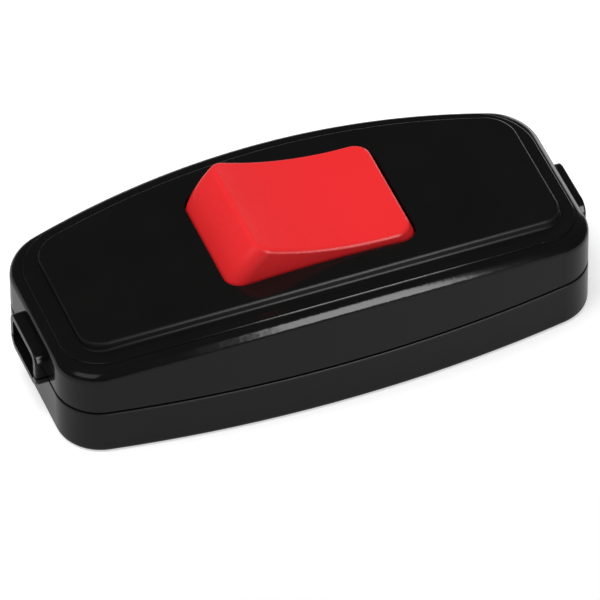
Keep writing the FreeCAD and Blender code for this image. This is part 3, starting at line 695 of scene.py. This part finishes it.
def spring_line(length):
    """Points of the helix from z = 0 to the length. The angle grows evenly. The height grows by one wire's
    thickness in a closed turn and faster in between, and its rate changes smoothly over a quarter turn."""
    turns = open_turns + 2 * closed_turns
    turn = np.linspace(0, turns, int(turns * steps_per_turn) + 1)
    from_end = np.minimum(turn, turns - turn)
    ease = np.clip((from_end - closed_turns + opening_turn / 2) / opening_turn, 0, 1)
    ease = ease * ease * (3 - 2 * ease)
    closed_rate = 2 * wire_radius
    open_rate = closed_rate + (length / turns - closed_rate) / ease.mean()
    rate = closed_rate + (open_rate - closed_rate) * ease
    height = np.concatenate([[0], np.cumsum((rate[1:] + rate[:-1]) / 2 * np.diff(turn))])
    height *= length / height[-1]
    angle = 2 * math.pi * turn
    coil_radius = spring_outer_radius - wire_radius
    return np.column_stack([coil_radius * np.cos(angle), coil_radius * np.sin(angle), height])


def round_wire(line, radius):
    """Rings about a line: each point plus the radius times (cosine of the way round times the direction
    away from the axis, plus sine times the cross product of the wire's direction and that one)."""
    along = np.gradient(line, axis=0)
    along /= np.linalg.norm(along, axis=1, keepdims=True)
    outwards = line * [1, 1, 0]
    outwards /= np.linalg.norm(outwards, axis=1, keepdims=True)
    sideways = np.cross(along, outwards)
    way = np.linspace(0, 2 * math.pi, sides_of_wire, endpoint=False)[None, :, None]
    ring = np.cos(way) * outwards[:, None] + np.sin(way) * sideways[:, None]
    return line[:, None] + radius * ring


print("points on the line of a 5 mm spring:", len(spring_line(5 * millimetre)))

# %% Spring in its place
joints = {joint["name"]: joint for joint in frame["joints"]}
pivot = np.array(joints["rocker_tilt"]["pos_m"])
plunger_axis = np.array(joints["plunger_slide"]["axis"], dtype=float)
plunger_travel = joints["plunger_slide"]["range_m"][1]
along_axis = (vertex_places(nodes["plunger_spring"].data) - pivot) @ plunger_axis
spring_low, spring_high = along_axis.min(), along_axis.max()
spring_length = spring_high - spring_low

sideways_axis = np.array([plunger_axis[2], 0, -plunger_axis[0]])
axes = np.stack([sideways_axis, [0, 1, 0], plunger_axis])
line = spring_line(spring_length - 2 * wire_radius) + [0, 0, spring_low + wire_radius]
rings = round_wire(line, wire_radius) @ axes + pivot
spring = add_piece("coil_spring", closed_tube("coil_spring", rings), "rocker", spring_steel,
                   "spring_steel", "plunger_spring")
spring_top = pivot + spring_high * plunger_axis
(spring_length - plunger_travel) / spring_length
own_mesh(spring)
print("spring:", round(spring_length / millimetre, 2), "mm long,", len(spring.data.polygons), "faces")

# %% [markdown]
# The floor
#
# A glossy black object shows little but reflections, so the light is planned by asking what each surface
# mirrors. The walls mirror the floor close to them. Paper that is white enough for a white background would
# make the walls grey, so the floor has a darker tone of its own for rays that come off a glossy face, with an
# even glow in place of the shadow that lies on it. To the camera it glows a little, which makes it white
# without more light on the object, and it keeps the object's shadow.

# %% Floor
near_margin = 30 * millimetre
far_margin = 60 * millimetre
floor_pale = 0.72
floor_in_gloss = 0.25
glow_to_camera = 0.5
glow_in_gloss = 0.4


def floor_sheet(name, near, far):
    """A level rectangle under the object. It is larger than it by the near margin in front and on the right,
    and by the far margin behind and on the left."""
    (left, front, _), (right, rear, _) = cad_box
    x0, x1, y0, y1 = left - far, right + near, front - near, rear + far
    mesh = bpy.data.meshes.new(name)
    mesh.from_pydata([(x0, y0, 0), (x1, y0, 0), (x1, y1, 0), (x0, y1, 0)], [], [(0, 1, 2, 3)])
    return mesh


paper = Finish("pale_paper", Roughness=0.95, Specular_IOR_Level=0.0, Emission_Color=(1, 1, 1, 1))
in_gloss = paper.ray("Glossy")
paper.set("Base Color", paper.blend(in_gloss, (floor_pale,) * 3, (floor_in_gloss,) * 3))
paper.set("Emission Strength", glow_to_camera * paper.ray("Camera") + glow_in_gloss * in_gloss)
floor = bpy.data.objects.new("floor", floor_sheet("floor", near_margin, far_margin))
floor.data.materials.append(paper.material)
bpy.context.scene.collection.objects.link(floor)
print("floor:", floor.dimensions.to_tuple(3), "m")

# %% [markdown]
# Lamps and surroundings
#
# One set of lamps could light the colours and make the reflections too, but then each change to one would
# change the other. So one large lamp, high on the left, lights everything but gloss, and four smaller cards
# light nothing but gloss: the front one draws the broad line along the round shoulder, the left one brightens
# the left end, and the two behind draw the thin lines along the rear edges. The flat top mirrors the
# surroundings, so these are nearly dark for reflections, a soft grey for the light that falls on the object,
# and white to the camera.


# %% Lamps
def direction(azimuth, elevation):
    """The unit vector at an azimuth in degrees, from -Y towards +X, and at an elevation in degrees: along X
    the azimuth's sine and along -Y its cosine, both times the elevation's cosine, and along Z its sine."""
    a, e = math.radians(azimuth), math.radians(elevation)
    return Vector((math.sin(a) * math.cos(e), -math.cos(a) * math.cos(e), math.sin(e)))


def card(name, azimuth, elevation, distance, size, brightness, gloss):
    """A rectangular lamp that faces the object from a direction, with distance and size in metres. Its power
    is its brightness times pi times its area. It shows in reflections only, or lights all but them."""
    light = bpy.data.lights.new(name, "AREA")
    light.shape = "RECTANGLE"
    light.size, light.size_y = size
    light.energy = brightness * math.pi * size[0] * size[1]
    lamp = bpy.data.objects.new(name, light)
    lamp.location = distance * direction(azimuth, elevation)
    lamp.rotation_euler = (-lamp.location).to_track_quat("-Z", "Y").to_euler()
    lamp.visible_camera = False
    lamp.visible_diffuse = not gloss
    lamp.visible_glossy = gloss
    bpy.context.scene.collection.objects.link(lamp)


card("large_soft_lamp", -80, 74, 0.9, size=(0.5, 0.5), brightness=5.9, gloss=False)
card("front_card", 17, 13, 0.5, size=(0.225, 0.5), brightness=12.6, gloss=True)
card("right_rear_card", 136, -5, 0.5, size=(0.16, 0.28), brightness=2.7, gloss=True)
card("rear_card", 163, -8, 0.5, size=(0.28, 0.2), brightness=0.5, gloss=True)
card("left_card", -62, 30, 0.5, size=(0.4, 0.2), brightness=1.8, gloss=True)
print("lamps:", [light.name for light in bpy.data.lights])

# %% Surroundings
sky_in_gloss = 0.05
sky_on_surfaces = 0.54
sky_to_camera = 1.0

world = bpy.data.worlds.new("surroundings")
world.use_nodes = True
bpy.context.scene.world = world
sky = Graph(world.node_tree, "Background")
sky.set("Color", (1, 1, 1, 1))
more_on_surfaces = (sky_on_surfaces - sky_in_gloss) * sky.ray("Diffuse")
more_to_camera = (sky_to_camera - sky_in_gloss) * sky.ray("Camera")
sky.set("Strength", sky_in_gloss + more_on_surfaces + more_to_camera)
bpy.context.scene.view_settings.view_transform = "Standard"
print("surroundings:", {"gloss": sky_in_gloss, "surfaces": sky_on_surfaces, "camera": sky_to_camera})
